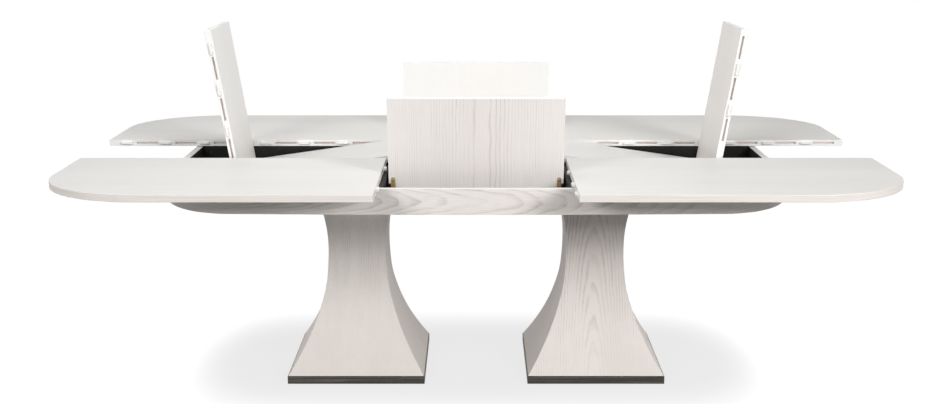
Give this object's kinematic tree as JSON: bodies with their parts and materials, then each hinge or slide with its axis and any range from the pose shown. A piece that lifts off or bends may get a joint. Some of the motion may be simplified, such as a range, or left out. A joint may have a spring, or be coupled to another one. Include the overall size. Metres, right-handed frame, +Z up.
{
  "type": "extending dining table",
  "caption": "Rectangular double-pedestal dining table whose sliding top quarters part in both directions around folding butterfly leaves that rise out of a black-lined well.",
  "frame": {"origin": "centre of the footprint on the floor, midway between the two plinths", "axes": "+X along the table's length to the right, +Y to the rear, +Z up; the front seen in the picture faces -Y"},
  "size_m": [2.595, 1.48, 1.1801],
  "materials": {
    "washed_oak_top": "white-washed open grain",
    "washed_oak_base": "white-washed open grain",
    "tongue_white": "white moulded tongue",
    "brass": "satin",
    "steel": "zinc plated",
    "slide_steel": "black",
    "bronze_plinth": "dark bronze satin",
    "black_lining": "black lacquer",
    "core_wood": "raw",
    "felt": "felt"
  },
  "bodies": {
    "base": {"apron_front": "washed_oak_base", "apron_left": "washed_oak_base", "apron_rear": "washed_oak_base", "apron_right": "washed_oak_base", "caps": "core_wood", "centre_bearers": "black_lining", "centre_panel": "washed_oak_top", "pan_screws": "steel", "panel_faces_left": "washed_oak_base", "panel_faces_right": "washed_oak_base", "panel_flanks_left": "washed_oak_base", "panel_flanks_right": "washed_oak_base", "partitions": "black_lining", "plinth_left": "bronze_plinth", "plinth_right": "bronze_plinth", "posts": "core_wood", "rest_pads": "felt", "slide_rails": "slide_steel", "tie_rods": "steel", "well_floor": "black_lining"},
    "slide_fl": {"carriage_fl": "slide_steel"},
    "quarter_fl": {"top_fl": "washed_oak_top", "tongues_fl": "tongue_white", "runners_fl": "slide_steel"},
    "slide_fr": {"carriage_fr": "slide_steel"},
    "quarter_fr": {"top_fr": "washed_oak_top", "tongues_fr": "tongue_white", "runners_fr": "slide_steel"},
    "slide_rl": {"carriage_rl": "slide_steel"},
    "quarter_rl": {"top_rl": "washed_oak_top", "tongues_rl": "tongue_white", "runners_rl": "slide_steel"},
    "slide_rr": {"carriage_rr": "slide_steel"},
    "quarter_rr": {"top_rr": "washed_oak_top", "tongues_rr": "tongue_white", "runners_rr": "slide_steel"},
    "inner_right": {"leaf_inner_right": "washed_oak_top", "strap_inner_right": "brass", "pivot_right": "steel"},
    "outer_right": {"leaf_outer_right": "washed_oak_top", "strap_outer_right": "brass", "tongues_leaf_right": "tongue_white"},
    "inner_rear": {"leaf_inner_rear": "washed_oak_top", "strap_inner_rear": "brass", "pivot_rear": "steel"},
    "outer_rear": {"leaf_outer_rear": "washed_oak_top", "strap_outer_rear": "brass"},
    "inner_left": {"leaf_inner_left": "washed_oak_top", "strap_inner_left": "brass", "pivot_left": "steel"},
    "outer_left": {"leaf_outer_left": "washed_oak_top", "strap_outer_left": "brass", "tongues_leaf_left": "tongue_white"},
    "inner_front": {"leaf_inner_front": "washed_oak_top", "strap_inner_front": "brass", "pivot_front": "steel"},
    "outer_front": {"leaf_outer_front": "washed_oak_top", "strap_outer_front": "brass"}
  },
  "joints": [
    {"name": "close_x_fl", "type": "slide", "parent": "base", "child": "slide_fl", "axis": [1, 0, 0], "range_m": [0, 0.025]},
    {"name": "close_y_fl", "type": "slide", "parent": "slide_fl", "child": "quarter_fl", "axis": [0, 1, 0], "range_m": [0, 0.014]},
    {"name": "close_x_fr", "type": "slide", "parent": "base", "child": "slide_fr", "axis": [-1, 0, 0], "range_m": [0, 0.025]},
    {"name": "close_y_fr", "type": "slide", "parent": "slide_fr", "child": "quarter_fr", "axis": [0, 1, 0], "range_m": [0, 0.014]},
    {"name": "close_x_rl", "type": "slide", "parent": "base", "child": "slide_rl", "axis": [1, 0, 0], "range_m": [0, 0.025]},
    {"name": "close_y_rl", "type": "slide", "parent": "slide_rl", "child": "quarter_rl", "axis": [0, -1, 0], "range_m": [0, 0.014]},
    {"name": "close_x_rr", "type": "slide", "parent": "base", "child": "slide_rr", "axis": [-1, 0, 0], "range_m": [0, 0.025]},
    {"name": "close_y_rr", "type": "slide", "parent": "slide_rr", "child": "quarter_rr", "axis": [0, -1, 0], "range_m": [0, 0.014]},
    {"name": "rise_right", "type": "hinge", "parent": "base", "child": "inner_right", "pos_m": [0.321, 0, 0.726], "axis": [0, -1, 0], "range_deg": [0, 8.23]},
    {"name": "fold_right", "type": "hinge", "parent": "inner_right", "child": "outer_right", "pos_m": [0.78017, 0, 0.69396], "axis": [0, 1, 0], "range_deg": [0, 89.33]},
    {"name": "rise_rear", "type": "hinge", "parent": "base", "child": "inner_rear", "pos_m": [0, 0.1975, 0.726], "axis": [1, 0, 0], "range_deg": [0, 17.91]},
    {"name": "fold_rear", "type": "hinge", "parent": "inner_rear", "child": "outer_rear", "pos_m": [0, 0.4097, 0.69315], "axis": [-1, 0, 0], "range_deg": [0, 98.41]},
    {"name": "rise_left", "type": "hinge", "parent": "base", "child": "inner_left", "pos_m": [-0.321, 0, 0.726], "axis": [0, 1, 0], "range_deg": [0, 8.23]},
    {"name": "fold_left", "type": "hinge", "parent": "inner_left", "child": "outer_left", "pos_m": [-0.78017, 0, 0.69396], "axis": [0, -1, 0], "range_deg": [0, 89.33]},
    {"name": "rise_front", "type": "hinge", "parent": "base", "child": "inner_front", "pos_m": [0, -0.1975, 0.726], "axis": [-1, 0, 0], "range_deg": [0, 17.91]},
    {"name": "fold_front", "type": "hinge", "parent": "inner_front", "child": "outer_front", "pos_m": [0, -0.4097, 0.69315], "axis": [1, 0, 0], "range_deg": [0, 98.41]}
  ],
  "couplings": [
    {"joint": "close_y_fl", "follows": "close_x_fl", "ratio": 0.56},
    {"joint": "close_x_fr", "follows": "close_x_fl", "ratio": 1},
    {"joint": "close_y_fr", "follows": "close_x_fl", "ratio": 0.56},
    {"joint": "close_x_rl", "follows": "close_x_fl", "ratio": 1},
    {"joint": "close_y_rl", "follows": "close_x_fl", "ratio": 0.56},
    {"joint": "close_x_rr", "follows": "close_x_fl", "ratio": 1},
    {"joint": "close_y_rr", "follows": "close_x_fl", "ratio": 0.56},
    {"joint": "rise_right", "follows": "fold_right", "ratio": 0.092109},
    {"joint": "rise_rear", "follows": "fold_rear", "ratio": 0.18199},
    {"joint": "rise_left", "follows": "fold_left", "ratio": 0.092109},
    {"joint": "rise_front", "follows": "fold_front", "ratio": 0.18199}
  ]
}
